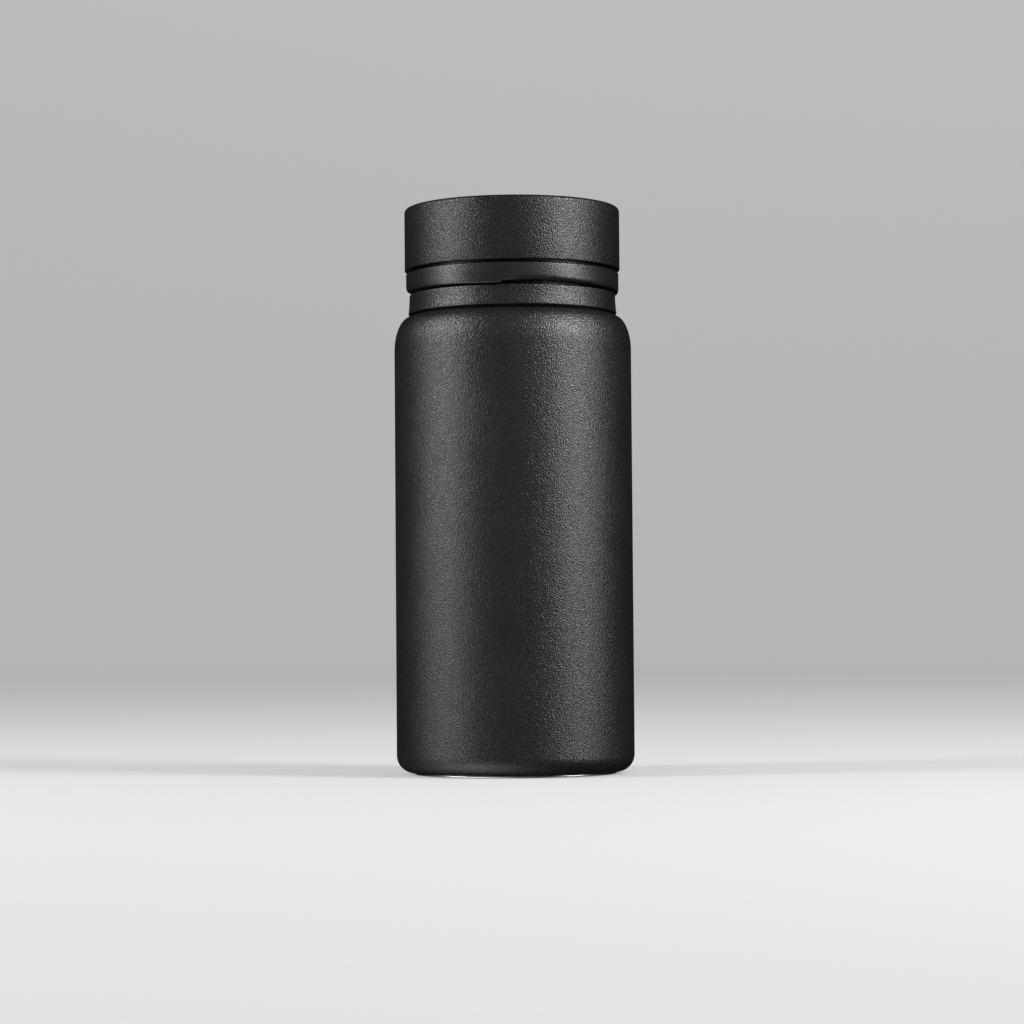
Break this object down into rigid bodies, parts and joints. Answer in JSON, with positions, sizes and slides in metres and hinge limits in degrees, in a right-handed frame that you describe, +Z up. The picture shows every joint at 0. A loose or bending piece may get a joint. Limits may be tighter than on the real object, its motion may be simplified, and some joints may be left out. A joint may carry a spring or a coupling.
{
  "type": "insulated bottle",
  "caption": "Slim round double-wall steel bottle with a powder-coated body, a screw-on drinking collar and a wide flat screw cap.",
  "frame": {"origin": "centre of the base, on the surface that the bottle stands on", "axes": "+Z up along the bottle's axis, towards the cap; -Y is the front, where the step in the collar's lower edge shows"},
  "size_m": [0.073, 0.073, 0.174],
  "materials": {
    "shell_coat": "fine-grained matte black powder coat",
    "cap_coat": "fine-grained matte black powder coat",
    "liner_steel": "satin, electropolished",
    "bare_steel": "bare, finely brushed",
    "solder": "dull, as melted",
    "getter_alloy": "sintered, dull grey",
    "copper_foil": "thin bright foil",
    "collar_plastic": "smooth satin black",
    "core_plastic": "smooth satin black",
    "silicone": "soft matte grey",
    "foam": "closed-cell foam"
  },
  "bodies": {
    "bottle": {"outer_shell": "shell_coat", "inner_liner": "liner_steel", "liner_bottom": "liner_steel", "bottom_cup": "bare_steel", "base_plate": "bare_steel", "seal_bead": "solder", "getter": "getter_alloy", "getter_clip": "bare_steel", "reflector_foil": "copper_foil"},
    "collar_gasket": {"collar_gasket": "silicone"},
    "collar": {"collar": "collar_plastic"},
    "cap_seal": {"cap_seal": "silicone"},
    "cap": {"cap_shell": "cap_coat", "cap_core": "core_plastic", "cap_insulation": "foam"}
  },
  "joints": [
    {"name": "collar_lift", "type": "slide", "parent": "bottle", "child": "collar_gasket", "axis": [0, 0, 1], "range_m": [0, 0.015]},
    {"name": "collar_turn", "type": "hinge", "parent": "collar_gasket", "child": "collar", "pos_m": [0, 0, 0.1503], "axis": [0, 0, 1], "range_deg": [0, 900]},
    {"name": "cap_lift", "type": "slide", "parent": "collar", "child": "cap_seal", "axis": [0, 0, 1], "range_m": [0, 0.015]},
    {"name": "cap_turn", "type": "hinge", "parent": "cap_seal", "child": "cap", "pos_m": [0, 0, 0.164], "axis": [0, 0, 1], "range_deg": [0, 900]}
  ],
  "couplings": [
    {"joint": "collar_lift", "follows": "collar_turn", "m_per_rad": 0.00095493},
    {"joint": "cap_lift", "follows": "cap_turn", "m_per_rad": 0.00095493}
  ]
}
